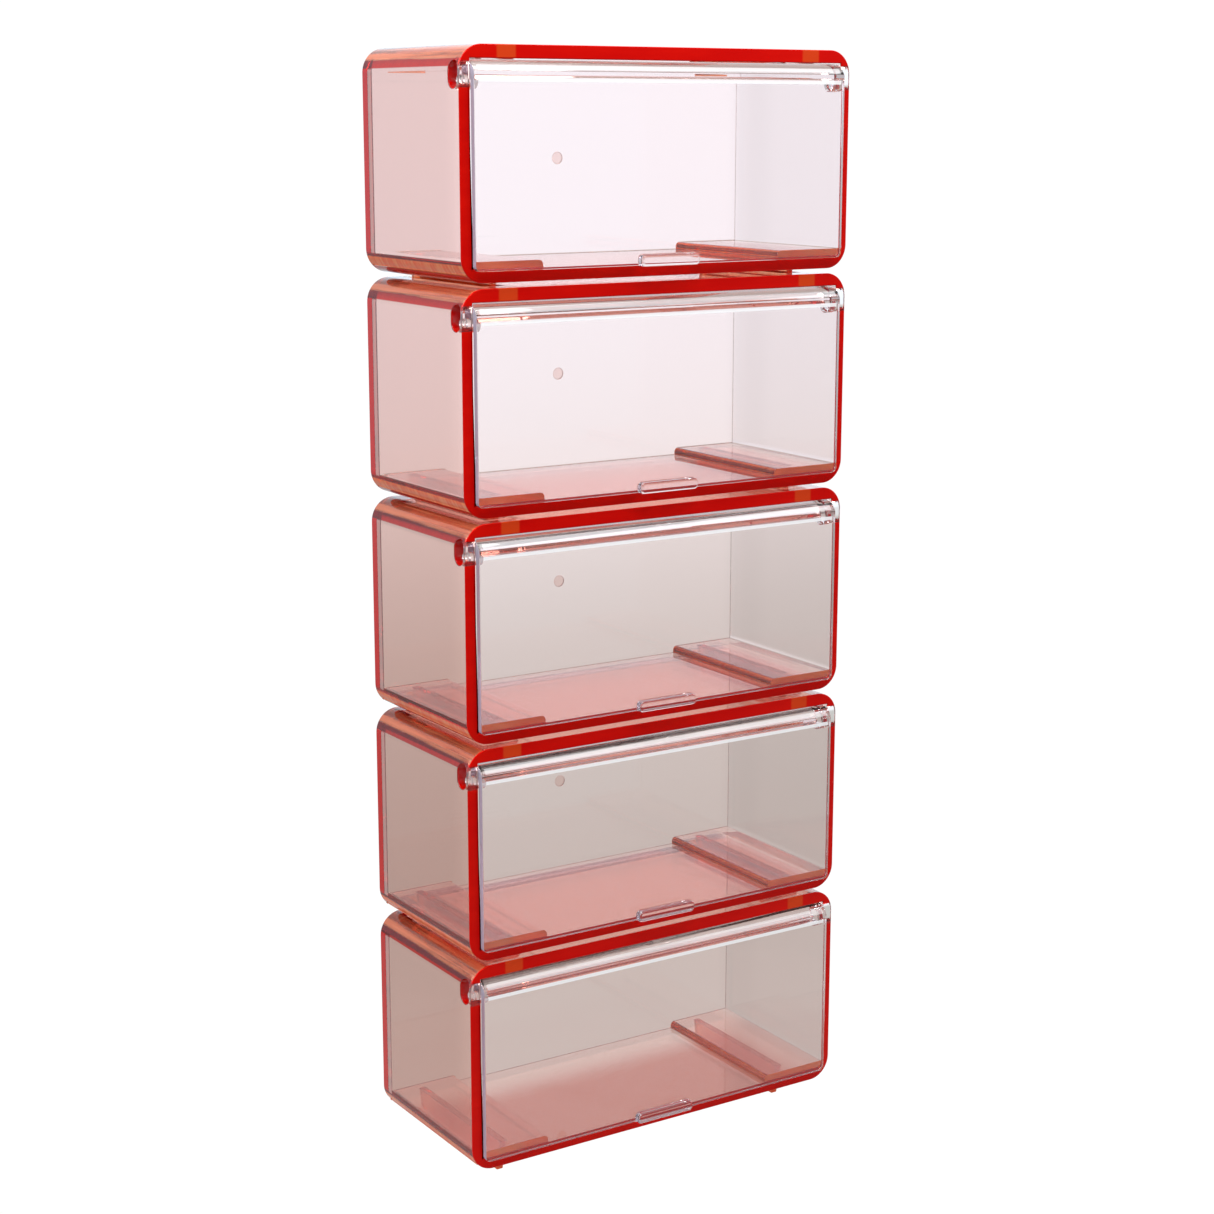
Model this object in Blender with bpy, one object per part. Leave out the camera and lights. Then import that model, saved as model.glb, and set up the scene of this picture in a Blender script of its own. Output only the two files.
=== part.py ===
"""Stack of five clear, red-tinted shoe boxes with flip-up front doors.

Metres, +Z up.  X runs along the front, Y from front to back.
The origin is at the middle of the footprint, on the ground.
Every box is two mouldings: a tinted shell (top, bottom, sides and back in
one piece, with hinge holes, stacking runners and stacking grooves) and a
clear door (panel, hinge beam, two stub axles and a finger pull in one piece).
"""
import math

import bmesh
import bpy
from mathutils import Matrix

# ---------------------------------------------------------------- dimensions
BOXES = 5
W = 0.350                     # outer width of a shell
D = 0.431 * W                 # outer depth of a shell
H = 0.481 * W                 # outer height of a shell, without its runners
STACK_GAP = 0.011 * W         # visible slit between two stacked shells
PITCH = H + STACK_GAP

SIDE_T = 0.0245 * W           # side wall
FLOOR_T = 0.0285 * W          # floor
ROOF_T = 0.0285 * W           # roof
BACK_T = 0.0265 * W           # back wall
R_OUT = 0.053 * W             # outer corner radius, seen from the front
R_IN = 0.010 * W              # lower inner corners, seen from the front
R_IN_TOP = 0.003 * W          # upper inner corners: tight, clear of the turning beam

PAD_W = 0.195 * W             # raised floor pads, measured from the outer side
PAD_H = 0.016 * W

RUNNER_X = 0.1105 * W         # centre of a runner and of its groove
RUNNER_T = 0.016 * W
RUNNER_H = 0.047 * W
RUNNER_Y0 = 0.062 * W
RUNNER_Y1 = 0.414 * W
RUNNER_RAMP = 0.010 * W
GROOVE_W = 0.053 * W
GROOVE_DEPTH = 0.037 * W
GROOVE_Y0 = 0.0585 * W         # front end at the roof
GROOVE_SLOPE = 0.0090 * W      # how far the front end leans back at the bottom
GROOVE_Y1 = 0.4205 * W
TROUGH_W = 0.089 * W          # the groove's own wall, below the roof
TROUGH_H = 0.050 * W          # from the roof's outer face down
TROUGH_Y0 = 0.0470 * W        # front end at the roof's underside
TROUGH_SLOPE = 0.0155 * W     # leans back, clear of the door's turning beam

HOLE_Y = 0.0278 * W           # hinge hole, an upright slot with round ends
HOLE_Z = 0.4209 * W
HOLE_W = 0.038 * W
HOLE_H = 0.056 * W

AXIS_Y = 0.0240 * W           # hinge axis, low and forward in the slot
AXIS_Z = 0.4080 * W
STUB_R = 0.0125 * W
STUB_IN = 0.0135 * W          # how far a stub enters the wall
CHEEK_R = 0.0180 * W
CHEEK_L = 0.0200 * W

SIDE_GAP = 0.0011 * W         # door to side wall
DOOR_X0 = SIDE_T + SIDE_GAP
DOOR_T = 0.0145 * W
DOOR_GAP = 0.0010 * W         # door to the floor's front edge
DOOR_FRONT = -(DOOR_T + DOOR_GAP)
DOOR_Z0 = 0.0245 * W
DOOR_CORNER = 0.013 * W
BEAM_R = 0.0432 * W           # top of the door, round about the hinge axis
BEAM_BACK = 0.0400 * W
BEAM_Z0 = 0.4107 * W
BEAM_CHAMFER = 0.0082 * W
BEAM_END_R = 0.0105 * W

PULL_W = 0.153 * W
PULL_Z0 = 0.0225 * W
PULL_Z1 = 0.0475 * W
PULL_OUT = 0.0150 * W
PULL_R = 0.0100 * W

# shell coordinates -> object frame
FRONT_Y = -((D + (DOOR_FRONT - PULL_OUT)) / 2.0)
BASE_Z = RUNNER_H


# ------------------------------------------------------------------- helpers
def wipe():
    for obj in list(bpy.data.objects):
        bpy.data.objects.remove(obj, do_unlink=True)


def collection(name):
    coll = bpy.data.collections.get(name)
    if coll is None:
        coll = bpy.data.collections.new(name)
        bpy.context.scene.collection.children.link(coll)
    return coll


def material(name, colour, roughness, alpha, ior):
    mat = bpy.data.materials.new(name)
    mat.use_nodes = True
    bsdf = mat.node_tree.nodes["Principled BSDF"]
    bsdf.inputs["Base Color"].default_value = (*colour, 1.0)
    bsdf.inputs["Roughness"].default_value = roughness
    bsdf.inputs["Metallic"].default_value = 0.0
    bsdf.inputs["Alpha"].default_value = alpha
    bsdf.inputs["IOR"].default_value = ior
    return mat


def rounded_rectangle(x0, z0, x1, z1, radii, steps):
    """Outline with its own radius at each corner: SW, SE, NE, NW."""
    corners = [
        (x0, z0, 1, 1, math.pi), (x1, z0, -1, 1, 1.5 * math.pi),
        (x1, z1, -1, -1, 0.0), (x0, z1, 1, -1, 0.5 * math.pi),
    ]
    points = []
    for (x, z, sx, sz, start), r in zip(corners, radii):
        if r <= 0.0:
            points.append((x, z))
            continue
        cx, cz = x + sx * r, z + sz * r
        for i in range(steps + 1):
            a = start + 0.5 * math.pi * i / steps
            points.append((cx + r * math.cos(a), cz + r * math.sin(a)))
    return points


def slot_outline(cx, cz, width, height, steps):
    """Upright slot with round ends."""
    r = width / 2.0
    half = height / 2.0 - r
    points = []
    for i in range(steps + 1):
        a = math.pi * i / steps
        points.append((cx + r * math.cos(a), cz + half + r * math.sin(a)))
    for i in range(steps + 1):
        a = math.pi + math.pi * i / steps
        points.append((cx + r * math.cos(a), cz - half + r * math.sin(a)))
    return points


def prism(name, outline, start, end, axis, coll):
    """A flat outline pushed along one axis.

    axis 'Y': the outline is (x, z).  axis 'X': the outline is (y, z).
    """
    curve = bpy.data.curves.new(name + "_outline", "CURVE")
    curve.dimensions = "2D"
    curve.fill_mode = "BOTH"
    curve.extrude = abs(end - start) / 2.0
    spline = curve.splines.new("POLY")
    spline.points.add(len(outline) - 1)
    for point, (u, v) in zip(spline.points, outline):
        point.co = (u, v, 0.0, 1.0)
    spline.use_cyclic_u = True
    flat = bpy.data.objects.new(name + "_outline", curve)
    coll.objects.link(flat)
    middle = (start + end) / 2.0
    if axis == "Y":
        turn = Matrix(((1, 0, 0, 0), (0, 0, -1, middle), (0, 1, 0, 0), (0, 0, 0, 1)))
    else:
        turn = Matrix(((0, 0, 1, middle), (1, 0, 0, 0), (0, 1, 0, 0), (0, 0, 0, 1)))
    bpy.context.view_layer.update()
    depsgraph = bpy.context.evaluated_depsgraph_get()
    mesh = bpy.data.meshes.new_from_object(flat.evaluated_get(depsgraph))
    mesh.transform(turn)
    bpy.data.objects.remove(flat, do_unlink=True)
    bm = bmesh.new()
    bm.from_mesh(mesh)
    bmesh.ops.remove_doubles(bm, verts=bm.verts, dist=1e-6)
    bmesh.ops.dissolve_limit(bm, angle_limit=0.001, verts=bm.verts, edges=bm.edges)
    bmesh.ops.recalc_face_normals(bm, faces=bm.faces)
    bm.to_mesh(mesh)
    bm.free()
    mesh.name = name
    obj = bpy.data.objects.new(name, mesh)
    coll.objects.link(obj)
    return obj


def rod(name, radius, x0, x1, y, z, sides, coll):
    """A round bar along X."""
    mesh = bpy.data.meshes.new(name)
    bm = bmesh.new()
    bmesh.ops.create_cone(
        bm, cap_ends=True, cap_tris=False, segments=sides,
        radius1=radius, radius2=radius, depth=abs(x1 - x0))
    bmesh.ops.rotate(bm, cent=(0, 0, 0), matrix=Matrix.Rotation(math.pi / 2, 3, "Y"), verts=bm.verts)
    bmesh.ops.translate(bm, vec=((x0 + x1) / 2.0, y, z), verts=bm.verts)
    bm.to_mesh(mesh)
    bm.free()
    obj = bpy.data.objects.new(name, mesh)
    coll.objects.link(obj)
    return obj


def combine(target, tools, operation):
    """Exact booleans, applied one after another."""
    for tool in tools:
        tool.hide_render = True
        tool.display_type = "WIRE"
        mod = target.modifiers.new(tool.name, "BOOLEAN")
        mod.operation = operation
        mod.solver = "EXACT"
        mod.object = tool
        bpy.context.view_layer.update()
        depsgraph = bpy.context.evaluated_depsgraph_get()
        mesh = bpy.data.meshes.new_from_object(target.evaluated_get(depsgraph))
        target.modifiers.remove(mod)
        old = target.data
        target.data = mesh
        mesh.name = old.name
        bpy.data.meshes.remove(old)


def tidy(obj):
    """Weld the boolean seams and merge the flat faces."""
    bm = bmesh.new()
    bm.from_mesh(obj.data)
    bmesh.ops.remove_doubles(bm, verts=bm.verts, dist=1e-6)
    bmesh.ops.dissolve_limit(bm, angle_limit=0.002, verts=bm.verts, edges=bm.edges)
    bmesh.ops.triangulate(bm, faces=bm.faces)
    bmesh.ops.recalc_face_normals(bm, faces=bm.faces)
    bm.to_mesh(obj.data)
    bm.free()
    obj.data.shade_smooth()
    obj.data.set_sharp_from_angle(angle=math.radians(30.0))


# ------------------------------------------------------------ the two masters
def make_shell(cutters):
    """One shell in its own coordinates: corner of the front face at 0, 0, 0."""
    shell = prism(
        "shell_body", rounded_rectangle(0, 0, W, H, (R_OUT,) * 4, 7), 0.0, D, "Y", cutters)

    hollow = prism(
        "shell_hollow",
        rounded_rectangle(
            SIDE_T, FLOOR_T, W - SIDE_T, H - ROOF_T, (R_IN, R_IN, R_IN_TOP, R_IN_TOP), 4),
        -0.02, D - BACK_T, "Y", cutters)
    combine(shell, [hollow], "DIFFERENCE")

    additions = []
    for side, mirror in (("left", False), ("right", True)):
        def span(a, b):
            return (W - b, W - a) if mirror else (a, b)

        # raised floor pad: sunk into the floor, the side and the back
        x0, x1 = span(SIDE_T * 0.5, PAD_W)
        z0, z1 = FLOOR_T * 0.6, FLOOR_T + PAD_H
        r = 0.010 * W
        radii = (0, 0, 0, r) if mirror else (0, 0, r, 0)
        additions.append(prism(
            "pad_" + side, rounded_rectangle(x0, z0, x1, z1, radii, 3),
            0.004 * W, D - BACK_T * 0.5, "Y", cutters))

        # wall of the stacking groove, hanging below the roof
        x0, x1 = span(RUNNER_X - TROUGH_W / 2, RUNNER_X + TROUGH_W / 2)
        profile = [
            (D - BACK_T * 0.5, H - TROUGH_H), (D - BACK_T * 0.5, H - ROOF_T * 0.5),
            (TROUGH_Y0, H - ROOF_T * 0.5), (TROUGH_Y0, H - ROOF_T),
            (TROUGH_Y0 + TROUGH_SLOPE, H - TROUGH_H),
        ]
        additions.append(prism("trough_" + side, profile, x0, x1, "X", cutters))

        # runner below the floor, with a sloped leading end
        x0, x1 = span(RUNNER_X - RUNNER_T / 2, RUNNER_X + RUNNER_T / 2)
        profile = [
            (RUNNER_Y0, FLOOR_T * 0.4), (RUNNER_Y0, 0.0),
            (RUNNER_Y0 + RUNNER_RAMP, -RUNNER_H),
            (RUNNER_Y1 - RUNNER_RAMP, -RUNNER_H),
            (RUNNER_Y1, 0.0), (RUNNER_Y1, FLOOR_T * 0.4),
        ]
        additions.append(prism("runner_" + side, profile, x0, x1, "X", cutters))
    combine(shell, additions, "UNION")

    openings = []
    for side, mirror in (("left", False), ("right", True)):
        x0 = RUNNER_X - GROOVE_W / 2
        x1 = RUNNER_X + GROOVE_W / 2
        if mirror:
            x0, x1 = W - x1, W - x0
        profile = [
            (GROOVE_Y1, H - GROOVE_DEPTH), (GROOVE_Y1, H + 0.01), (GROOVE_Y0, H + 0.01),
            (GROOVE_Y0, H), (GROOVE_Y0 + GROOVE_SLOPE, H - GROOVE_DEPTH),
        ]
        openings.append(prism("groove_" + side, profile, x0, x1, "X", cutters))
        lo, hi = (-0.01, SIDE_T + 0.004) if not mirror else (W - SIDE_T - 0.004, W + 0.01)
        openings.append(prism(
            "hinge_hole_" + side, slot_outline(HOLE_Y, HOLE_Z, HOLE_W, HOLE_H, 8),
            lo, hi, "X", cutters))
    combine(shell, openings, "DIFFERENCE")
    tidy(shell)
    return shell


def make_door(cutters):
    """One door in shell coordinates."""
    front_reach = AXIS_Y - DOOR_FRONT
    z_front = AXIS_Z + math.sqrt(BEAM_R ** 2 - front_reach ** 2)
    a0 = math.atan2(z_front - AXIS_Z, -front_reach)
    a1 = math.acos((BEAM_BACK - AXIS_Y) / BEAM_R)
    profile = [(DOOR_FRONT, DOOR_Z0)]
    steps = 8
    for i in range(steps + 1):
        a = a0 + (a1 - a0) * i / steps
        profile.append((AXIS_Y + BEAM_R * math.cos(a), AXIS_Z + BEAM_R * math.sin(a)))
    profile += [
        (BEAM_BACK, BEAM_Z0 + BEAM_CHAMFER), (BEAM_BACK - BEAM_CHAMFER, BEAM_Z0),
        (-DOOR_GAP, BEAM_Z0), (-DOOR_GAP, DOOR_Z0),
    ]
    door = prism("door_body", profile, DOOR_X0, W - DOOR_X0, "X", cutters)

    # round the panel's lower corners and the ends of the beam's round top
    corner = rounded_rectangle(
        DOOR_X0, DOOR_Z0, W - DOOR_X0, AXIS_Z + BEAM_R,
        (DOOR_CORNER, DOOR_CORNER, BEAM_END_R, BEAM_END_R), 4)
    trim = prism("door_outline", corner, DOOR_FRONT - 0.01, BEAM_BACK + 0.01, "Y", cutters)
    combine(door, [trim], "INTERSECT")

    additions = []
    for side, mirror in (("left", False), ("right", True)):
        x0, x1 = DOOR_X0 + 0.0002, DOOR_X0 + CHEEK_L
        s0, s1 = DOOR_X0 - STUB_IN, DOOR_X0 + CHEEK_L * 0.5
        if mirror:
            x0, x1 = W - x1, W - x0
            s0, s1 = W - s1, W - s0
        additions.append(rod("cheek_" + side, CHEEK_R, x0, x1, AXIS_Y, AXIS_Z, 20, cutters))
        additions.append(rod("stub_" + side, STUB_R, s0, s1, AXIS_Y, AXIS_Z, 20, cutters))
    pull = prism(
        "finger_pull",
        rounded_rectangle(W / 2 - PULL_W / 2, PULL_Z0, W / 2 + PULL_W / 2, PULL_Z1, (PULL_R,) * 4, 4),
        DOOR_FRONT - PULL_OUT, DOOR_FRONT + DOOR_T * 0.5, "Y", cutters)
    additions.append(pull)
    combine(door, additions, "UNION")
    tidy(door)
    return door


# ------------------------------------------------------------------- assembly
def main():
    wipe()
    parts = collection("shoe_box_stack")
    cutters = collection("cutters")

    shell_master = make_shell(cutters)
    door_master = make_door(cutters)

    # shell mesh: origin at the shell's own corner, moved to its middle
    shell_mesh = shell_master.data.copy()
    shell_mesh.transform(Matrix.Translation((-W / 2, FRONT_Y, 0.0)))
    # door mesh: origin on the hinge axis, half way along it
    door_mesh = door_master.data.copy()
    door_mesh.transform(Matrix.Translation((-W / 2, -AXIS_Y, -AXIS_Z)))

    for number in range(1, BOXES + 1):
        base = BASE_Z + (number - 1) * PITCH

        lift = bpy.data.objects.new("box_%d" % number, None)
        lift.location = (0.0, 0.0, base)
        parts.objects.link(lift)

        shell = bpy.data.objects.new("box_%d_shell" % number, shell_mesh.copy())
        shell.data.name = shell.name
        shell.data.materials.clear()
        shell.data.materials.append(material(
            "tinted_plastic_%d" % number, (0.80, 0.10, 0.07), 0.12, 0.55, 1.55))
        shell.parent = lift
        parts.objects.link(shell)

        door = bpy.data.objects.new("box_%d_door" % number, door_mesh.copy())
        door.data.name = door.name
        door.data.materials.clear()
        door.data.materials.append(material(
            "clear_plastic_%d" % number, (0.93, 0.92, 0.94), 0.08, 0.35, 1.52))
        door.parent = lift
        door.location = (0.0, FRONT_Y + AXIS_Y, AXIS_Z)
        parts.objects.link(door)

    for obj in list(cutters.objects):
        obj.hide_render = True
        obj.display_type = "WIRE"


main()
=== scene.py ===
"""Looks of the stack of five see-through, red-tinted shoe boxes."""
import math

import bmesh
import bpy
from mathutils import Matrix, Vector


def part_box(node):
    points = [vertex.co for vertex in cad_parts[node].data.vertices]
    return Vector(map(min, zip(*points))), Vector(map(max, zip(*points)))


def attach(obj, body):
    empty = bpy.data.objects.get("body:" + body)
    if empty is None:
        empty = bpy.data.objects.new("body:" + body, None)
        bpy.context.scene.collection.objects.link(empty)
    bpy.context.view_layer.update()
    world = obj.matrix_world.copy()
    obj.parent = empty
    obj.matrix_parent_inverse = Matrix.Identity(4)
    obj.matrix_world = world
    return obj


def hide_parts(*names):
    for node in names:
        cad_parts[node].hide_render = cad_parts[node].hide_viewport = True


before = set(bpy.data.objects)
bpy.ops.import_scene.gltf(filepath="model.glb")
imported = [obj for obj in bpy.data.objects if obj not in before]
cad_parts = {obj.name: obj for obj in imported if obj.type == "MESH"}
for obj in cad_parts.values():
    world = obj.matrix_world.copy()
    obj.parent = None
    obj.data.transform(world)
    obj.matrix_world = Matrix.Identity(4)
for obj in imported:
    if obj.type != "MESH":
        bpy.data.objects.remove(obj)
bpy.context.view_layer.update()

# ------------------------------------------------------------- dimensions
W = 0.350
D = 0.431 * W
H = 0.481 * W
SIDE_T, FLOOR_T, ROOF_T, BACK_T = 0.0245 * W, 0.0285 * W, 0.0285 * W, 0.0265 * W
R_OUT, R_IN = 0.053 * W, 0.010 * W
PAD_W, PAD_H = 0.195 * W, 0.016 * W
RUNNER_X, RUNNER_T, RUNNER_H = 0.1105 * W, 0.016 * W, 0.047 * W
RUNNER_Y0, RUNNER_Y1, RUNNER_RAMP = 0.062 * W, 0.414 * W, 0.010 * W
GROOVE_W, GROOVE_DEPTH = 0.053 * W, 0.037 * W
GROOVE_Y0, GROOVE_SLOPE, GROOVE_Y1 = 0.0585 * W, 0.0090 * W, 0.4205 * W
TROUGH_W, TROUGH_H = 0.089 * W, 0.050 * W
TROUGH_Y0, TROUGH_SLOPE = 0.0470 * W, 0.0155 * W
HOLE_Y, HOLE_Z, HOLE_W, HOLE_H = 0.0278 * W, 0.4209 * W, 0.038 * W, 0.056 * W
AXIS_Y, AXIS_Z = 0.0240 * W, 0.4080 * W
STUB_R, STUB_IN = 0.0125 * W, 0.0135 * W
CHEEK_R, CHEEK_L = 0.0180 * W, 0.0200 * W
DOOR_X0 = SIDE_T + 0.0011 * W
DOOR_T, DOOR_GAP = 0.0145 * W, 0.0010 * W
DOOR_FRONT = -(DOOR_T + DOOR_GAP)
DOOR_Z0, DOOR_CORNER = 0.0245 * W, 0.013 * W
BEAM_R, BEAM_BACK, BEAM_Z0 = 0.0432 * W, 0.0400 * W, 0.4107 * W
BEAM_CHAMFER, BEAM_END_R = 0.0082 * W, 0.0105 * W
PULL_W, PULL_Z0, PULL_Z1 = 0.153 * W, 0.0225 * W, 0.0475 * W
PULL_OUT, PULL_R = 0.0150 * W, 0.0100 * W
GATE_X, GATE_Z, GATE_R = 0.475 * W, 0.2440 * W, 0.0135 * W

# ------------------------------------------------------------------ colours
SHELL_SIGMA = (2.6, 25.0, 31.0)      # absorption per metre of red plastic
SHELL_SURFACE = (0.970, 0.925, 0.915)
# painted glow colours, all below except GATE_PALE and FLAT_SURFACE: opaque reds and oranges that
# stand in for light piped along the walls; DEEP_RED_LIT is the brighter painted copy, and the
# shares set how opaque each painted band is
DEEP_RED, DEEP_RED_LIT = (0.55, 0.0008, 0.0004), (0.62, 0.0030, 0.0008)
WARM_RED, WARM_ORANGE = (0.96, 0.130, 0.026), (1.00, 0.270, 0.072)
PALE_ORANGE = (0.88, 0.25, 0.11)
GATE_PALE = (0.86, 0.58, 0.52)
FLAT_SURFACE = (0.950, 0.805, 0.750)
BLIND_ORANGE = (0.62, 0.075, 0.012)
REAR_SHARE, CORNER_SHARE = 0.88, 0.14
PAD_FRONT_SHARE, PAD_SIDE_SHARE = 0.72, 0.74
LOW_END_SHARE, TOP_END_SHARE = 0.68, 0.46
TROUGH_SHARE, GROOVE_SHARE, RUNNER_SHARE = 0.16, 0.22, 0.30

WORK = bpy.data.collections.new("workshop")
bpy.context.scene.collection.children.link(WORK)


# ------------------------------------------------------------------ helpers
def rounded_rectangle(x0, z0, x1, z1, radii, steps):
    corners = [(x0, z0, 1, 1, math.pi), (x1, z0, -1, 1, 1.5 * math.pi),
               (x1, z1, -1, -1, 0.0), (x0, z1, 1, -1, 0.5 * math.pi)]
    points = []
    for (x, z, sx, sz, start), r in zip(corners, radii):
        if r <= 0.0:
            points.append((x, z))
            continue
        cx, cz = x + sx * r, z + sz * r
        for i in range(steps + 1):
            a = start + 0.5 * math.pi * i / steps
            points.append((cx + r * math.cos(a), cz + r * math.sin(a)))
    return points


def slot_outline(cx, cz, width, height, steps):
    r = width / 2.0
    half = height / 2.0 - r
    top = [(cx + r * math.cos(math.pi * i / steps), cz + half + r * math.sin(math.pi * i / steps))
           for i in range(steps + 1)]
    low = [(cx - r * math.cos(math.pi * i / steps), cz - half - r * math.sin(math.pi * i / steps))
           for i in range(steps + 1)]
    return top + low


def clean(mesh):
    bm = bmesh.new()
    bm.from_mesh(mesh)
    bmesh.ops.remove_doubles(bm, verts=bm.verts, dist=1e-6)
    bmesh.ops.dissolve_limit(bm, angle_limit=0.001, verts=bm.verts, edges=bm.edges)
    bmesh.ops.recalc_face_normals(bm, faces=bm.faces)
    bm.to_mesh(mesh)
    bm.free()


def prism(name, outline, start, end, axis):
    """axis 'Y': outline is (x, z); 'X': outline is (y, z); 'Z': outline is (x, y)."""
    curve = bpy.data.curves.new(name + "_outline", "CURVE")
    curve.dimensions = "2D"
    curve.fill_mode = "BOTH"
    curve.extrude = abs(end - start) / 2.0
    spline = curve.splines.new("POLY")
    spline.points.add(len(outline) - 1)
    for point, (u, v) in zip(spline.points, outline):
        point.co = (u, v, 0.0, 1.0)
    spline.use_cyclic_u = True
    flat = bpy.data.objects.new(name + "_outline", curve)
    WORK.objects.link(flat)
    mid = (start + end) / 2.0
    turn = {
        "Y": Matrix(((1, 0, 0, 0), (0, 0, -1, mid), (0, 1, 0, 0), (0, 0, 0, 1))),
        "X": Matrix(((0, 0, 1, mid), (1, 0, 0, 0), (0, 1, 0, 0), (0, 0, 0, 1))),
        "Z": Matrix.Translation((0, 0, mid)),
    }[axis]
    bpy.context.view_layer.update()
    graph = bpy.context.evaluated_depsgraph_get()
    mesh = bpy.data.meshes.new_from_object(flat.evaluated_get(graph))
    mesh.transform(turn)
    bpy.data.objects.remove(flat, do_unlink=True)
    clean(mesh)
    obj = bpy.data.objects.new(name, mesh)
    WORK.objects.link(obj)
    return obj


def rod(name, radius, start, end, u, v, sides, axis="X"):
    outline = [(u + radius * math.cos(2 * math.pi * i / sides),
                v + radius * math.sin(2 * math.pi * i / sides)) for i in range(sides)]
    return prism(name, outline, start, end, axis)


def bake(obj):
    """Replace an object's mesh with its evaluated mesh."""
    bpy.context.view_layer.update()
    graph = bpy.context.evaluated_depsgraph_get()
    mesh = bpy.data.meshes.new_from_object(obj.evaluated_get(graph))
    obj.modifiers.clear()
    obj.data = mesh


def combine(target, tools, operation):
    for tool in tools:
        mod = target.modifiers.new(tool.name, "BOOLEAN")
        mod.operation = operation
        mod.solver = "EXACT"
        mod.object = tool
        bake(target)
        bpy.data.objects.remove(tool, do_unlink=True)


def soften(obj, width, share, segments=3, angle=32.0):
    """Moulded edges: a small round on every sharp edge. share(middle) scales it by place."""
    clean(obj.data)
    obj.data.shade_smooth()
    bm = bmesh.new()
    bm.from_mesh(obj.data)
    weights = []
    for edge in bm.edges:
        sharp = len(edge.link_faces) == 2 and edge.calc_face_angle(0.0) > math.radians(angle)
        middle = (edge.verts[0].co + edge.verts[1].co) / 2.0
        weights.append(share(middle) if sharp else 0.0)
    bm.free()
    layer = obj.data.attributes.new("bevel_weight_edge", "FLOAT", "EDGE")
    layer.data.foreach_set("value", weights)
    mod = obj.modifiers.new("edge_round", "BEVEL")
    mod.width = width
    mod.segments = segments
    mod.limit_method = "WEIGHT"
    mod.use_clamp_overlap = False
    mod.harden_normals = True
    mod.miter_outer = "MITER_SHARP"
    bake(obj)
    true_normals(obj.data)


def true_normals(mesh):
    """Flat faces stay optically flat: at each corner the widest face within 40 degrees leads."""
    around = [[] for _ in mesh.vertices]
    for poly in mesh.polygons:
        for v in poly.vertices:
            around[v].append(poly.index)
    normals = [poly.normal.copy() for poly in mesh.polygons]
    areas = [poly.area for poly in mesh.polygons]
    limit = math.cos(math.radians(40.0))
    out = [None] * len(mesh.loops)
    for poly in mesh.polygons:
        own = normals[poly.index]
        for loop, v in zip(poly.loop_indices, poly.vertices):
            total = Vector((0.0, 0.0, 0.0))
            for other in around[v]:
                if normals[other].dot(own) > limit:
                    total += normals[other] * areas[other] ** 1.5
            out[loop] = total.normalized() if total.length > 0.0 else own
    mesh.normals_split_custom_set(out)


def both_sides(a, b):
    return (("left", a, b), ("right", W - b, W - a))


# -------------------------------------------------------------------- shell
def make_shell():
    shell = prism("shell", rounded_rectangle(0, 0, W, H, (R_OUT,) * 4, 20), 0.0, D, "Y")
    hollow = prism("hollow", rounded_rectangle(
        SIDE_T, FLOOR_T, W - SIDE_T, H - ROOF_T, (R_IN, R_IN, 0, 0), 6),
        -0.02, D - BACK_T, "Y")
    combine(shell, [hollow], "DIFFERENCE")

    tools = []
    r = 0.0105 * W
    for side, x0, x1 in both_sides(SIDE_T * 0.5, PAD_W):
        radii = (0, 0, r, 0) if side == "left" else (0, 0, 0, r)
        tools.append(prism("pad_" + side, rounded_rectangle(
            x0, FLOOR_T * 0.6, x1, FLOOR_T + PAD_H, radii, 8), 0.004 * W, D - BACK_T * 0.5, "Y"))
    for side, x0, x1 in both_sides(RUNNER_X - TROUGH_W / 2, RUNNER_X + TROUGH_W / 2):
        tools.append(prism("trough_" + side, [
            (D - BACK_T * 0.5, H - TROUGH_H), (D - BACK_T * 0.5, H - ROOF_T * 0.5),
            (TROUGH_Y0, H - ROOF_T * 0.5), (TROUGH_Y0, H - ROOF_T),
            (TROUGH_Y0 + TROUGH_SLOPE, H - TROUGH_H)], x0, x1, "X"))
    for side, x0, x1 in both_sides(RUNNER_X - RUNNER_T / 2, RUNNER_X + RUNNER_T / 2):
        tools.append(prism("runner_" + side, [
            (RUNNER_Y0, FLOOR_T * 0.4), (RUNNER_Y0, 0.0), (RUNNER_Y0 + RUNNER_RAMP, -RUNNER_H),
            (RUNNER_Y1 - RUNNER_RAMP, -RUNNER_H), (RUNNER_Y1, 0.0), (RUNNER_Y1, FLOOR_T * 0.4)],
            x0, x1, "X"))
    combine(shell, tools, "UNION")

    tools = []
    for side, x0, x1 in both_sides(RUNNER_X - GROOVE_W / 2, RUNNER_X + GROOVE_W / 2):
        tools.append(prism("groove_" + side, [
            (GROOVE_Y1, H - GROOVE_DEPTH), (GROOVE_Y1, H + 0.01), (GROOVE_Y0, H + 0.01),
            (GROOVE_Y0, H), (GROOVE_Y0 + GROOVE_SLOPE, H - GROOVE_DEPTH)], x0, x1, "X"))
    for side, x0, x1 in both_sides(-0.01, SIDE_T + 0.004):
        tools.append(prism("hinge_hole_" + side, slot_outline(
            HOLE_Y, HOLE_Z, HOLE_W, HOLE_H, 16), x0, x1, "X"))
    # shallow round gate mark near the middle of the back wall's inner face
    tools.append(rod("gate", GATE_R, D - BACK_T - 0.004, D - BACK_T + 0.0006,
                     GATE_X, GATE_Z, 32, "Y"))
    combine(shell, tools, "DIFFERENCE")

    def share(c):
        if abs(c.y - 0.004 * W) < 0.0003:
            return 0.6                      # the pads' front edges, close behind the mouth
        if abs(c.x - GATE_X) < 0.006 and abs(c.z - GATE_Z) < 0.006 and c.y > D / 2:
            return 0.3                      # the gate mark
        return 1.0

    soften(shell, 0.0007, share)
    return shell


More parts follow.
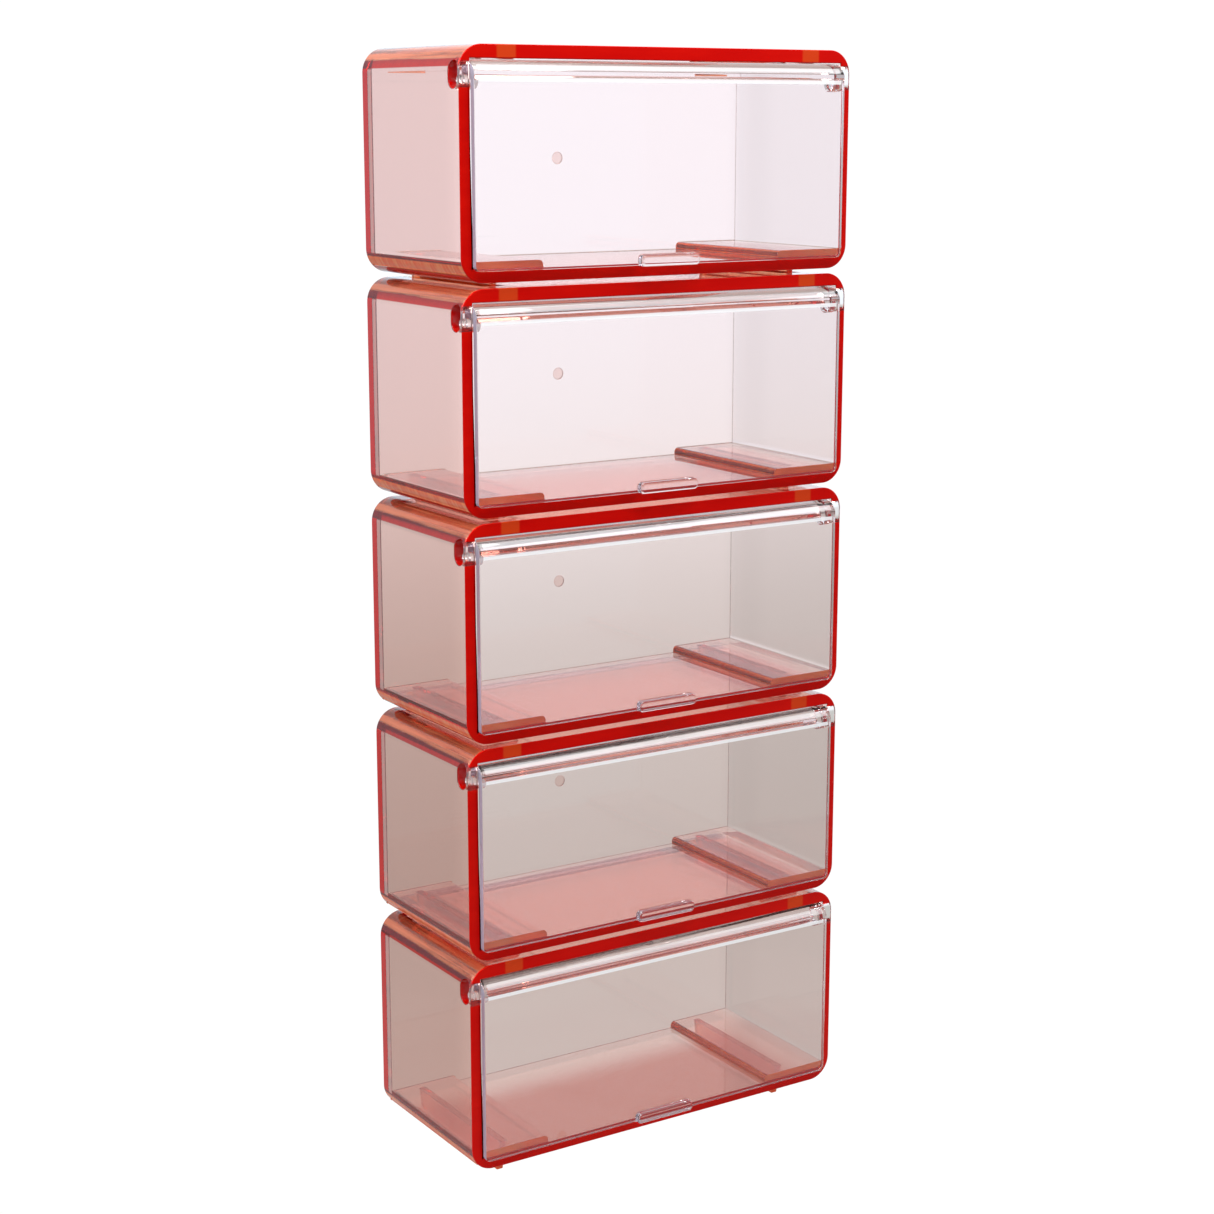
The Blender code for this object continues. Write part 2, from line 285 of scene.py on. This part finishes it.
# --------------------------------------------------------------------- door
def make_door():
    reach = AXIS_Y - DOOR_FRONT
    z_front = AXIS_Z + math.sqrt(BEAM_R ** 2 - reach ** 2)
    a0 = math.atan2(z_front - AXIS_Z, -reach)
    a1 = math.acos((BEAM_BACK - AXIS_Y) / BEAM_R)
    profile = [(DOOR_FRONT, DOOR_Z0)]
    for i in range(25):
        a = a0 + (a1 - a0) * i / 24
        profile.append((AXIS_Y + BEAM_R * math.cos(a), AXIS_Z + BEAM_R * math.sin(a)))
    profile += [(BEAM_BACK, BEAM_Z0 + BEAM_CHAMFER), (BEAM_BACK - BEAM_CHAMFER, BEAM_Z0),
                (-DOOR_GAP, BEAM_Z0), (-DOOR_GAP, DOOR_Z0)]
    door = prism("door", profile, DOOR_X0, W - DOOR_X0, "X")
    trim = prism("trim", rounded_rectangle(
        DOOR_X0, DOOR_Z0, W - DOOR_X0, AXIS_Z + BEAM_R,
        (DOOR_CORNER, DOOR_CORNER, BEAM_END_R, BEAM_END_R), 10),
        DOOR_FRONT - 0.01, BEAM_BACK + 0.01, "Y")
    combine(door, [trim], "INTERSECT")
    tools = []
    for side, x0, x1 in both_sides(DOOR_X0 + 0.0002, DOOR_X0 + CHEEK_L):
        tools.append(rod("cheek_" + side, CHEEK_R, x0, x1, AXIS_Y, AXIS_Z, 40))
    for side, x0, x1 in both_sides(DOOR_X0 - STUB_IN, DOOR_X0 + CHEEK_L * 0.5):
        tools.append(rod("stub_" + side, STUB_R, x0, x1, AXIS_Y, AXIS_Z, 40))
    tools.append(prism("pull", rounded_rectangle(
        W / 2 - PULL_W / 2, PULL_Z0, W / 2 + PULL_W / 2, PULL_Z1, (PULL_R,) * 4, 8),
        DOOR_FRONT - PULL_OUT, DOOR_FRONT + DOOR_T * 0.5, "Y"))
    combine(door, tools, "UNION")

    def share(c):
        u = min(c.x, W - c.x)
        from_axis = math.hypot(c.y - AXIS_Y, c.z - AXIS_Z)
        if u > DOOR_X0 - 0.0001 and u < DOOR_X0 + 0.0004 and from_axis < CHEEK_R + 0.0004:
            return 0.0                      # the cheeks stand only 0.2 mm behind the ends
        if c.y < DOOR_FRONT - PULL_OUT + 0.0003:
            return 1.0                      # the pull's outer edges are well rounded
        return 0.32

    soften(door, 0.0022, share, 4)
    return door


# ---------------------------------------------------------------- materials
def new_material(name):
    mat = bpy.data.materials.new(name)
    mat.use_nodes = True
    nt = mat.node_tree
    return mat, nt, nt.nodes["Principled BSDF"], nt.nodes["Material Output"]


def surface_detail(nt, bsdf, rough_low, rough_high, bump):
    """Fine moulding waviness and faint handling marks."""
    coord = nt.nodes.new("ShaderNodeTexCoord")
    marks = nt.nodes.new("ShaderNodeTexNoise")
    marks.inputs["Scale"].default_value = 38.0
    marks.inputs["Detail"].default_value = 6.0
    marks.inputs["Roughness"].default_value = 0.62
    nt.links.new(coord.outputs["Object"], marks.inputs["Vector"])
    rough = nt.nodes.new("ShaderNodeMapRange")
    rough.inputs["From Min"].default_value = 0.35
    rough.inputs["From Max"].default_value = 0.75
    rough.inputs["To Min"].default_value = rough_low
    rough.inputs["To Max"].default_value = rough_high
    nt.links.new(marks.outputs["Fac"], rough.inputs["Value"])
    nt.links.new(rough.outputs["Result"], bsdf.inputs["Roughness"])
    wave = nt.nodes.new("ShaderNodeTexNoise")
    wave.inputs["Scale"].default_value = 9.0
    wave.inputs["Detail"].default_value = 2.0
    nt.links.new(coord.outputs["Object"], wave.inputs["Vector"])
    bump_node = nt.nodes.new("ShaderNodeBump")
    bump_node.inputs["Strength"].default_value = bump
    bump_node.inputs["Distance"].default_value = 0.0006
    nt.links.new(wave.outputs["Fac"], bump_node.inputs["Height"])
    nt.links.new(bump_node.outputs["Normal"], bsdf.inputs["Normal"])


class Maths:
    """Short names for shader maths, all of it on the piece's own coordinates."""

    def __init__(self, nt):
        self.nt = nt
        coord = nt.nodes.new("ShaderNodeTexCoord")
        place = nt.nodes.new("ShaderNodeSeparateXYZ")
        facing = nt.nodes.new("ShaderNodeSeparateXYZ")
        nt.links.new(coord.outputs["Object"], place.inputs["Vector"])
        nt.links.new(coord.outputs["Normal"], facing.inputs["Vector"])
        self.point = coord.outputs["Object"]
        self.x, self.y, self.z = (place.outputs[i] for i in range(3))
        self.nx, self.ny, self.nz = (self.op("ABSOLUTE", facing.outputs[i]) for i in range(3))
        self.u = self.op("MINIMUM", self.x, self.op("SUBTRACT", W, self.x))
        shape = nt.nodes.new("ShaderNodeNewGeometry")
        self.outer = self.op("SUBTRACT", 1.0, shape.outputs["Backfacing"])

    def op(self, kind, a, b=None, clamp=False):
        node = self.nt.nodes.new("ShaderNodeMath")
        node.operation = kind
        node.use_clamp = clamp
        for socket, value in zip(node.inputs, (a, b)):
            if value is None:
                continue
            if isinstance(value, (int, float)):
                socket.default_value = value
            else:
                self.nt.links.new(value, socket)
        return node.outputs[0]

    def above(self, value, limit, blur):
        """0 below limit, 1 above it, over the width blur."""
        node = self.nt.nodes.new("ShaderNodeMapRange")
        node.interpolation_type = "SMOOTHSTEP"
        node.inputs["From Min"].default_value = limit - blur / 2
        node.inputs["From Max"].default_value = limit + blur / 2
        self.nt.links.new(value, node.inputs["Value"])
        return node.outputs[0]

    def below(self, value, limit, blur):
        return self.op("SUBTRACT", 1.0, self.above(value, limit, blur))

    def within(self, value, low, high, blur):
        return self.all(self.above(value, low, blur), self.below(value, high, blur))

    def all(self, *parts):
        out = parts[0]
        for part in parts[1:]:
            out = self.op("MULTIPLY", out, part)
        return out

    def most(self, *parts):
        out = parts[0]
        for part in parts[1:]:
            out = self.op("MAXIMUM", out, part)
        return out

    def mix(self, factor, a, b):
        node = self.nt.nodes.new("ShaderNodeMix")
        node.data_type = "RGBA"
        self.nt.links.new(factor, node.inputs["Factor"])
        for key, value in (("A", a), ("B", b)):
            if isinstance(value, tuple):
                node.inputs[key].default_value = (*value, 1.0)
            else:
                self.nt.links.new(value, node.inputs[key])
        return node.outputs["Result"]


def tinted_plastic():
    """Red-tinted styrene. Every cut edge of a wall gets an opaque painted glow, deep red or orange,
    that stands in for the light the walls pipe.
    """
    mat, nt, bsdf, out = new_material("tinted_plastic_look")
    m = Maths(nt)
    mm = 0.001
    # the hinge slots' height, where only a thin web is left in front of them
    web = m.all(m.within(m.z, HOLE_Z - HOLE_H * 0.47, HOLE_Z + HOLE_H * 0.47, 1.2 * mm),
                m.below(m.u, SIDE_T + 0.5 * mm, 0.8 * mm))
    mouth = m.all(m.below(m.y, 1.0 * mm, 0.5 * mm), m.op("SUBTRACT", 1.0, web))
    slot = m.all(m.within(m.z, HOLE_Z - HOLE_H * 0.5 - 0.5 * mm, HOLE_Z + HOLE_H * 0.5 + 0.5 * mm,
                          0.4 * mm),
                 m.within(m.y, HOLE_Y - HOLE_W * 0.5 + 2.0 * mm, HOLE_Y + HOLE_W * 0.5 + 0.6 * mm,
                          1.0 * mm),
                 m.below(m.u, SIDE_T + 0.3 * mm, 0.5 * mm), m.below(m.nx, 0.6, 0.2))
    rear = m.all(m.above(m.y, D - BACK_T + 0.6 * mm, 1.6 * mm), m.below(m.ny, 0.75, 0.3),
                 m.above(m.z, -0.5 * mm, 0.5 * mm))
    corner = m.all(m.above(m.nx, 0.22, 0.2), m.above(m.nz, 0.22, 0.2))
    outside = m.most(m.below(m.u, SIDE_T * 0.7, 0.5 * mm), m.below(m.z, FLOOR_T * 0.7, 0.5 * mm),
                     m.above(m.z, H - ROOF_T * 0.7, 0.5 * mm))
    corner = m.all(corner, outside)
    rear = m.all(rear, outside)
    flank = m.all(m.below(m.u, 0.3 * mm, 0.3 * mm), m.above(m.nx, 0.7, 0.2))
    rear = m.all(rear, flank)
    # the floor's and the roof's ends, along the sides, where painted glow bands go
    low_end = m.all(m.within(m.z, -0.5 * mm, FLOOR_T + PAD_H * 0.55, 1.4 * mm),
                    m.above(m.nx, 0.12, 0.2), m.below(m.u, SIDE_T * 0.9, 1.0 * mm))
    top_end = m.all(m.above(m.z, H - TROUGH_H * 0.55, 2.5 * mm), m.above(m.nx, 0.12, 0.2),
                    m.below(m.u, SIDE_T * 1.6, 4.0 * mm), outside)
    keel = m.all(m.within(m.z, -0.5 * mm, R_OUT * 0.30, 1.5 * mm), outside,
                 m.below(m.u, R_OUT * 0.85, 2.0 * mm), m.above(m.nz, 0.25, 0.3))
    # painted deep-red glow: front rim, hinge slots, rear edges, keel and rounded corners
    deep = m.most(mouth, m.op("MULTIPLY", slot, 0.92), m.op("MULTIPLY", rear, REAR_SHARE),
                  m.op("MULTIPLY", keel, 0.85),
                  m.op("MULTIPLY", corner, CORNER_SHARE))
    # thicker features, which show more orange, get a painted orange glow: pads, troughs, grooves,
    # runners
    pad_z = m.within(m.z, FLOOR_T + 0.3 * mm, FLOOR_T + PAD_H + 0.6 * mm, 0.5 * mm)
    pad_u = m.within(m.u, SIDE_T - 0.2 * mm, PAD_W + 0.4 * mm, 0.4 * mm)
    pad_front = m.all(pad_z, pad_u, m.within(m.y, 1.1 * mm, 3.2 * mm, 0.3 * mm),
                      m.above(m.ny, 0.35, 0.3))
    pad_side = m.all(pad_z, pad_u, m.above(m.nx, 0.35, 0.4), m.above(m.u, PAD_W - 5.5 * mm, 1 * mm))
    pad_side = m.all(pad_side, m.most(0.38, m.above(m.z, FLOOR_T + PAD_H - 1.6 * mm, 0.8 * mm),
                                      m.below(m.z, FLOOR_T + 1.4 * mm, 0.8 * mm)))
    trough = m.all(m.within(m.z, H - TROUGH_H - 0.5 * mm, H - ROOF_T - 0.6 * mm, 0.6 * mm),
                   m.within(m.u, RUNNER_X - TROUGH_W / 2 - 0.5 * mm,
                            RUNNER_X + TROUGH_W / 2 + 0.5 * mm, 0.5 * mm),
                   m.above(m.y, TROUGH_Y0 - 1 * mm, 1 * mm))
    groove = m.all(m.within(m.z, H - GROOVE_DEPTH - 0.5 * mm, H - 1.0 * mm, 0.6 * mm),
                   m.within(m.u, RUNNER_X - GROOVE_W / 2 - 0.4 * mm,
                            RUNNER_X + GROOVE_W / 2 + 0.4 * mm, 0.4 * mm),
                   m.within(m.y, GROOVE_Y0 - 0.6 * mm, GROOVE_Y1 + 0.6 * mm, 0.6 * mm))
    runner = m.below(m.z, -0.8 * mm, 0.8 * mm)
    warm = m.most(m.op("MULTIPLY", pad_front, PAD_FRONT_SHARE),
                  m.op("MULTIPLY", pad_side, PAD_SIDE_SHARE),
                  m.op("MULTIPLY", trough, TROUGH_SHARE), m.op("MULTIPLY", groove, GROOVE_SHARE),
                  m.op("MULTIPLY", runner, RUNNER_SHARE),
                  m.op("MULTIPLY", low_end, LOW_END_SHARE))
    grain_at = nt.nodes.new("ShaderNodeMapping")
    grain_at.inputs["Scale"].default_value = (160.0, 9.0, 160.0)
    nt.links.new(m.point, grain_at.inputs["Vector"])
    grain = nt.nodes.new("ShaderNodeTexNoise")
    grain.inputs["Scale"].default_value = 1.0
    grain.inputs["Detail"].default_value = 4.0
    nt.links.new(grain_at.outputs["Vector"], grain.inputs["Vector"])
    drawn = m.op("ADD", 0.45, m.op("MULTIPLY", m.above(grain.outputs["Fac"], 0.50, 0.24), 0.85))
    # painted pale-orange glow band along the roof's ends, broken up by the drawn grain
    pale = m.all(top_end, drawn, TOP_END_SHARE)
    # the gate mark, a faint disc with a rim
    across = nt.nodes.new("ShaderNodeVectorMath")
    across.operation = "DISTANCE"
    across.inputs[1].default_value = (GATE_X, D - BACK_T, GATE_Z)
    nt.links.new(m.point, across.inputs[0])
    from_gate = across.outputs["Value"]
    gate = m.most(m.op("MULTIPLY", m.below(from_gate, GATE_R, 0.4 * mm), 0.06),
                  m.op("MULTIPLY", m.within(from_gate, GATE_R - 0.9 * mm, GATE_R + 0.1 * mm,
                                            0.4 * mm), 0.16))
    # a painted pale stripe just ahead of the rear edge: a painted highlight where the back wall's
    # inner corner is seen
    painted_corner_stripe = m.all(m.within(m.y, D - BACK_T - 5.6 * mm, D - BACK_T + 0.4 * mm, 1.2 * mm), flank,
                 m.within(m.z, R_OUT * 0.7, H - R_OUT * 0.8, 4.0 * mm))
    # the groove's blind end is painted as an orange patch in the roof's front edge, over the
    # painted red glow
    blind = m.all(m.within(m.u, RUNNER_X - GROOVE_W * 0.42, RUNNER_X + GROOVE_W * 0.42, 2.0 * mm),
                  m.above(m.z, H - ROOF_T * 0.93, 1.0 * mm), mouth)
    # share of opaque painted colour: the painted glows and the painted stripe, plus the gate mark,
    # only where the plastic is hit from outside
    solid = m.all(m.most(deep, warm, pale, gate, m.op("MULTIPLY", painted_corner_stripe, 0.42)), m.outer)
    # streaks of brighter and dimmer painted glow along each glowing edge
    streak_at = nt.nodes.new("ShaderNodeMapping")
    streak_at.inputs["Scale"].default_value = (14.0, 300.0, 60.0)
    nt.links.new(m.point, streak_at.inputs["Vector"])
    streak = nt.nodes.new("ShaderNodeTexNoise")
    streak.inputs["Scale"].default_value = 1.0
    streak.inputs["Detail"].default_value = 5.0
    nt.links.new(streak_at.outputs["Vector"], streak.inputs["Vector"])
    shade = m.above(streak.outputs["Fac"], 0.53, 0.35)
    red = m.mix(shade, DEEP_RED, DEEP_RED_LIT)
    red = m.mix(m.op("MULTIPLY", blind, 0.6), red, BLIND_ORANGE)
    orange = m.mix(shade, WARM_RED, WARM_ORANGE)
    warmth = m.above(m.op("SUBTRACT", warm, deep), 0.05, 0.1)
    glow = m.mix(warmth, red, orange)
    glow = m.mix(m.above(m.op("SUBTRACT", pale, m.most(deep, warm)), 0.03, 0.06), glow, PALE_ORANGE)
    glow = m.mix(m.op("MULTIPLY", painted_corner_stripe, m.below(deep, 0.30, 0.3)), glow, (0.95, 0.60, 0.55))
    glow = m.mix(m.above(gate, 0.02, 0.02), glow, GATE_PALE)
    plain = m.mix(m.above(m.nz, 0.7, 0.3), SHELL_SURFACE, FLAT_SURFACE)
    colour = m.mix(m.above(solid, 0.02, 0.04), plain, glow)
    nt.links.new(colour, bsdf.inputs["Base Color"])
    nt.links.new(m.op("SUBTRACT", 1.0, solid, True), bsdf.inputs["Transmission Weight"])
    nt.links.new(m.mix(m.op("MULTIPLY", mouth, 1.0), (1.0, 1.0, 1.0), (1.0, 0.10, 0.06)),
                 bsdf.inputs["Specular Tint"])
    bsdf.inputs["IOR"].default_value = 1.52
    bsdf.inputs["Specular IOR Level"].default_value = 0.5
    surface_detail(nt, bsdf, 0.0, 0.03, 0.03)
    volume = nt.nodes.new("ShaderNodeVolumeAbsorption")
    volume.inputs["Density"].default_value = 40.0
    volume.inputs["Color"].default_value = (*[1 - q / 40.0 for q in SHELL_SIGMA], 1.0)
    nt.links.new(volume.outputs["Volume"], out.inputs["Volume"])
    return mat


def clear_plastic():
    """Colourless styrene, faintly lilac at its ends, with two painted white highlight bands along
    the hinge beam and a greyish lilac painted on the door's front end faces.
    """
    mat, nt, bsdf, out = new_material("clear_plastic_look")
    m = Maths(nt)
    mm = 0.001
    bsdf.inputs["IOR"].default_value = 1.49
    inset = m.within(m.u, DOOR_X0 + 0.010 * W, W, 1.0 * mm)
    face = m.all(m.below(m.y, DOOR_FRONT + 0.6 * mm, 0.6 * mm), inset)
    # painted highlights: white bands along the hinge beam, where the overhead softbox's reflection
    # falls
    low_highlight_band = m.all(m.within(m.z, 0.4062 * W, 0.4146 * W, 0.5 * mm), face)
    high_highlight_band = m.all(m.within(m.z, 0.4290 * W, 0.4400 * W, 0.8 * mm), inset,
                      m.below(m.y, DOOR_FRONT + 0.011 * W, 0.6 * mm))
    end = m.all(m.above(m.nx, 0.75, 0.2), m.below(m.u, DOOR_X0 + 0.6 * mm, 0.4 * mm),
                m.above(m.u, DOOR_X0 - 0.6 * mm, 0.4 * mm), m.below(m.y, 0.4 * mm, 0.4 * mm))
    solid = m.all(m.most(m.op("MULTIPLY", low_highlight_band, 0.80), m.op("MULTIPLY", high_highlight_band, 0.32),
                         m.op("MULTIPLY", end, 0.55)), m.outer)
    tone = m.mix(end, (0.96, 0.96, 0.97), (0.60, 0.56, 0.68))
    nt.links.new(m.mix(m.above(solid, 0.02, 0.04), (0.985, 0.982, 0.99), tone),
                 bsdf.inputs["Base Color"])
    nt.links.new(m.op("SUBTRACT", 1.0, solid, True), bsdf.inputs["Transmission Weight"])
    surface_detail(nt, bsdf, 0.0, 0.015, 0.008)
    volume = nt.nodes.new("ShaderNodeVolumeAbsorption")
    sigma = (2.0, 2.3, 1.7)
    volume.inputs["Density"].default_value = 8.0
    volume.inputs["Color"].default_value = (*[1 - q / 8.0 for q in sigma], 1.0)
    nt.links.new(volume.outputs["Volume"], out.inputs["Volume"])
    return mat


# ----------------------------------------------------------------- assembly
scene = bpy.context.scene
shell_master = make_shell()
door_master = make_door()
tint, clear = tinted_plastic(), clear_plastic()
for obj, mat in ((shell_master, tint), (door_master, clear)):
    obj.data.materials.clear()
    obj.data.materials.append(mat)

LOOKS = bpy.data.collections.new("shoe_box_stack_looks")
scene.collection.children.link(LOOKS)
for k in range(1, 6):
    low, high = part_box("box_%d_shell" % k)
    at = Vector((low[0], low[1], low[2] + RUNNER_H))
    for kind, master, body, slot in (
            ("shell", shell_master, "box_%d", "tinted_plastic"),
            ("door", door_master, "door_%d", "clear_plastic")):
        piece = bpy.data.objects.new("%s_%d" % (kind, k), master.data.copy())
        LOOKS.objects.link(piece)
        piece.location = at
        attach(piece, body % k)
        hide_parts("box_%d_%s" % (k, kind))
for obj in (shell_master, door_master):
    bpy.data.objects.remove(obj, do_unlink=True)

# ------------------------------------------------------------------- studio
low0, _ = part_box("box_1_shell")
origin = Vector((low0[0], low0[1], low0[2] + RUNNER_H))
yaw, pitch, roll = math.radians(32.6986), math.radians(12.0996), math.radians(0.0206)
fwd = Vector((math.sin(yaw) * math.cos(pitch), math.cos(yaw) * math.cos(pitch), -math.sin(pitch)))
right = Vector((math.cos(yaw), -math.sin(yaw), 0.0))
up = right.cross(fwd)
r2 = math.cos(roll) * right + math.sin(roll) * up
u2 = -math.sin(roll) * right + math.cos(roll) * up
cam_data = bpy.data.cameras.new("camera")
cam_data.lens = 36.0 * 2297.1 / 1214.0
cam_data.sensor_width = 36.0
cam_data.clip_end = 200.0
cam = bpy.data.objects.new("camera", cam_data)
scene.collection.objects.link(cam)
where = origin + Vector((-2.3108, -4.1516, 2.3087)) * W
cam.matrix_world = Matrix((
    (r2.x, u2.x, -fwd.x, where.x), (r2.y, u2.y, -fwd.y, where.y),
    (r2.z, u2.z, -fwd.z, where.z), (0, 0, 0, 1)))
scene.camera = cam


def stage_material():
    """Pale seamless paper, evenly lit. Seen directly it is white. As a light and behind the
    plastic it is dimmer on the viewer's side and brighter up the sweep, as in a softly lit
    room, and a pink shadow of the red boxes is painted on it beneath them."""
    mat, nt, bsdf, out = new_material("stage_paper")
    nt.nodes.remove(bsdf)
    coord = nt.nodes.new("ShaderNodeTexCoord")
    place = nt.nodes.new("ShaderNodeSeparateXYZ")
    nt.links.new(coord.outputs["Object"], place.inputs["Vector"])

    def op(kind, a, b=None):
        node = nt.nodes.new("ShaderNodeMath")
        node.operation = kind
        for socket, value in zip(node.inputs, (a, b)):
            if isinstance(value, (int, float)):
                socket.default_value = value
            elif value is not None:
                nt.links.new(value, socket)
        return node.outputs[0]

    along = op("ADD", place.outputs["Y"], place.outputs["Z"])
    ramp = nt.nodes.new("ShaderNodeValToRGB")
    low, high = -3.0, 7.0
    stops = [(-1.6, (0.46, 0.47, 0.49)), (0.02, (0.71, 0.77, 0.76)), (0.55, (0.67, 0.75, 0.74)),
             (1.5, (0.82, 0.94, 0.95)), (3.0, (1.12, 1.31, 1.39)), (5.2, (1.20, 1.45, 1.62)),
             (6.8, (1.23, 1.50, 1.68))]
    elements = ramp.color_ramp.elements
    while len(elements) < len(stops):
        elements.new(0.5)
    for element, (at, colour) in zip(elements, stops):
        element.position = (at - low) / (high - low)
        element.color = (*[c / 2.0 for c in colour], 1.0)
    nt.links.new(op("DIVIDE", op("SUBTRACT", along, low), high - low), ramp.inputs["Fac"])

    def inside(value, edge, blur):
        node = nt.nodes.new("ShaderNodeMapRange")
        node.interpolation_type = "SMOOTHSTEP"
        node.inputs["From Min"].default_value = edge + blur
        node.inputs["From Max"].default_value = edge - blur
        nt.links.new(op("ABSOLUTE", value), node.inputs["Value"])
        return node.outputs[0]

    # painted pink shadow of the red boxes on the paper beneath them
    painted_pink_shadow = op("MULTIPLY", inside(place.outputs["X"], 0.165, 0.03),
               inside(op("SUBTRACT", place.outputs["Y"], 0.005), 0.066, 0.025))
    tone = nt.nodes.new("ShaderNodeMix")
    tone.data_type = "RGBA"
    nt.links.new(painted_pink_shadow, tone.inputs["Factor"])
    nt.links.new(ramp.outputs["Color"], tone.inputs["A"])
    tone.inputs["B"].default_value = (0.252, 0.108, 0.080, 1.0)
    # soft upright bands of shade on the sweep, as the folds and corner of a real backdrop give
    slope = op("DIVIDE", op("ADD", place.outputs["X"], 0.984),
               op("MAXIMUM", op("ADD", place.outputs["Y"], 1.52), 0.3))

    def rise(value, low, high, start, end):
        node = nt.nodes.new("ShaderNodeMapRange")
        node.interpolation_type = "SMOOTHSTEP"
        for key, number in (("From Min", low), ("From Max", high), ("To Min", start),
                            ("To Max", end)):
            node.inputs[key].default_value = number
        nt.links.new(value, node.inputs["Value"])
        return node.outputs[0]

    bands = op("MULTIPLY", rise(slope, 0.548, 0.562, 0.85, 1.0), rise(slope, 0.10, 0.50, 0.60, 1.0))
    bands = op("MULTIPLY", bands, rise(slope, 0.716, 0.735, 1.0, 0.86))
    bands = op("MULTIPLY", bands, rise(slope, 0.738, 0.752, 0.96, 1.0))
    lit = nt.nodes.new("ShaderNodeEmission")
    nt.links.new(op("MULTIPLY", bands, 2.0), lit.inputs["Strength"])
    nt.links.new(tone.outputs["Result"], lit.inputs["Color"])
    seen = nt.nodes.new("ShaderNodeEmission")
    seen.inputs["Color"].default_value = (1, 1, 1, 1)
    seen.inputs["Strength"].default_value = 1.02
    path = nt.nodes.new("ShaderNodeLightPath")
    mix = nt.nodes.new("ShaderNodeMixShader")
    nt.links.new(path.outputs["Is Camera Ray"], mix.inputs["Fac"])
    nt.links.new(lit.outputs["Emission"], mix.inputs[1])
    nt.links.new(seen.outputs["Emission"], mix.inputs[2])
    nt.links.new(mix.outputs["Shader"], out.inputs["Surface"])
    mat.cycles.emission_sampling = "NONE"
    return mat


profile = [(-7.0, 0.0), (3.5, 0.0)]
for i in range(1, 25):
    a = 0.5 * math.pi * i / 24
    profile.append((3.5 + 2.0 * math.sin(a), 2.0 - 2.0 * math.cos(a)))
profile.append((5.5, 9.0))
verts, faces = [], []
for x in (-12.0, 12.0):
    verts += [(x, y, z) for y, z in profile]
n = len(profile)
for i in range(n - 1):
    faces.append((i, i + n, i + n + 1, i + 1))
stage_mesh = bpy.data.meshes.new("stage_sweep")
stage_mesh.from_pydata(verts, [], faces)
stage_mesh.shade_smooth()
stage_mesh.materials.append(stage_material())
stage = bpy.data.objects.new("stage_sweep", stage_mesh)
scene.collection.objects.link(stage)

world = bpy.data.worlds.new("studio")
scene.world = world
world.use_nodes = True
nt = world.node_tree
bg = nt.nodes["Background"]
coord = nt.nodes.new("ShaderNodeTexCoord")
split = nt.nodes.new("ShaderNodeSeparateXYZ")
nt.links.new(coord.outputs["Generated"], split.inputs["Vector"])
ramp = nt.nodes.new("ShaderNodeMapRange")
ramp.inputs["From Min"].default_value = -1.0
ramp.inputs["From Max"].default_value = 0.4
ramp.inputs["To Min"].default_value = 0.45
ramp.inputs["To Max"].default_value = 1.15
nt.links.new(split.outputs["Y"], ramp.inputs["Value"])
nt.links.new(ramp.outputs["Result"], bg.inputs["Strength"])
bg.inputs["Color"].default_value = (0.97, 0.97, 1.0, 1.0)
plain = nt.nodes.new("ShaderNodeBackground")
plain.inputs["Color"].default_value = (1.0, 1.0, 1.0, 1.0)
plain.inputs["Strength"].default_value = 1.02
path = nt.nodes.new("ShaderNodeLightPath")
pick = nt.nodes.new("ShaderNodeMixShader")
nt.links.new(path.outputs["Is Camera Ray"], pick.inputs["Fac"])
nt.links.new(bg.outputs["Background"], pick.inputs[1])
nt.links.new(plain.outputs["Background"], pick.inputs[2])
nt.links.new(pick.outputs["Shader"], nt.nodes["World Output"].inputs["Surface"])


def softbox(name, where, aim, size_x, size_y, power, colour=(1, 1, 1)):
    data = bpy.data.lights.new(name, "AREA")
    data.shape = "RECTANGLE"
    data.size, data.size_y = size_x, size_y
    data.energy = power
    data.color = colour
    lamp = bpy.data.objects.new(name, data)
    scene.collection.objects.link(lamp)
    lamp.location = where
    lamp.rotation_euler = (Vector(aim) - Vector(where)).to_track_quat("-Z", "Y").to_euler()
    return lamp


softbox("top_softbox", (0.0, -0.8, 2.6), (0, 0, 0.4), 2.2, 1.2, 72.0)
softbox("left_softbox", (-2.6, -0.4, 1.6), (0, 0, 0.5), 1.2, 1.8, 25.0)

scene.view_settings.view_transform = "Standard"
scene.cycles.max_bounces = 64
scene.cycles.transmission_bounces = 64
scene.cycles.glossy_bounces = 64
scene.cycles.diffuse_bounces = 6
scene.cycles.transparent_max_bounces = 16
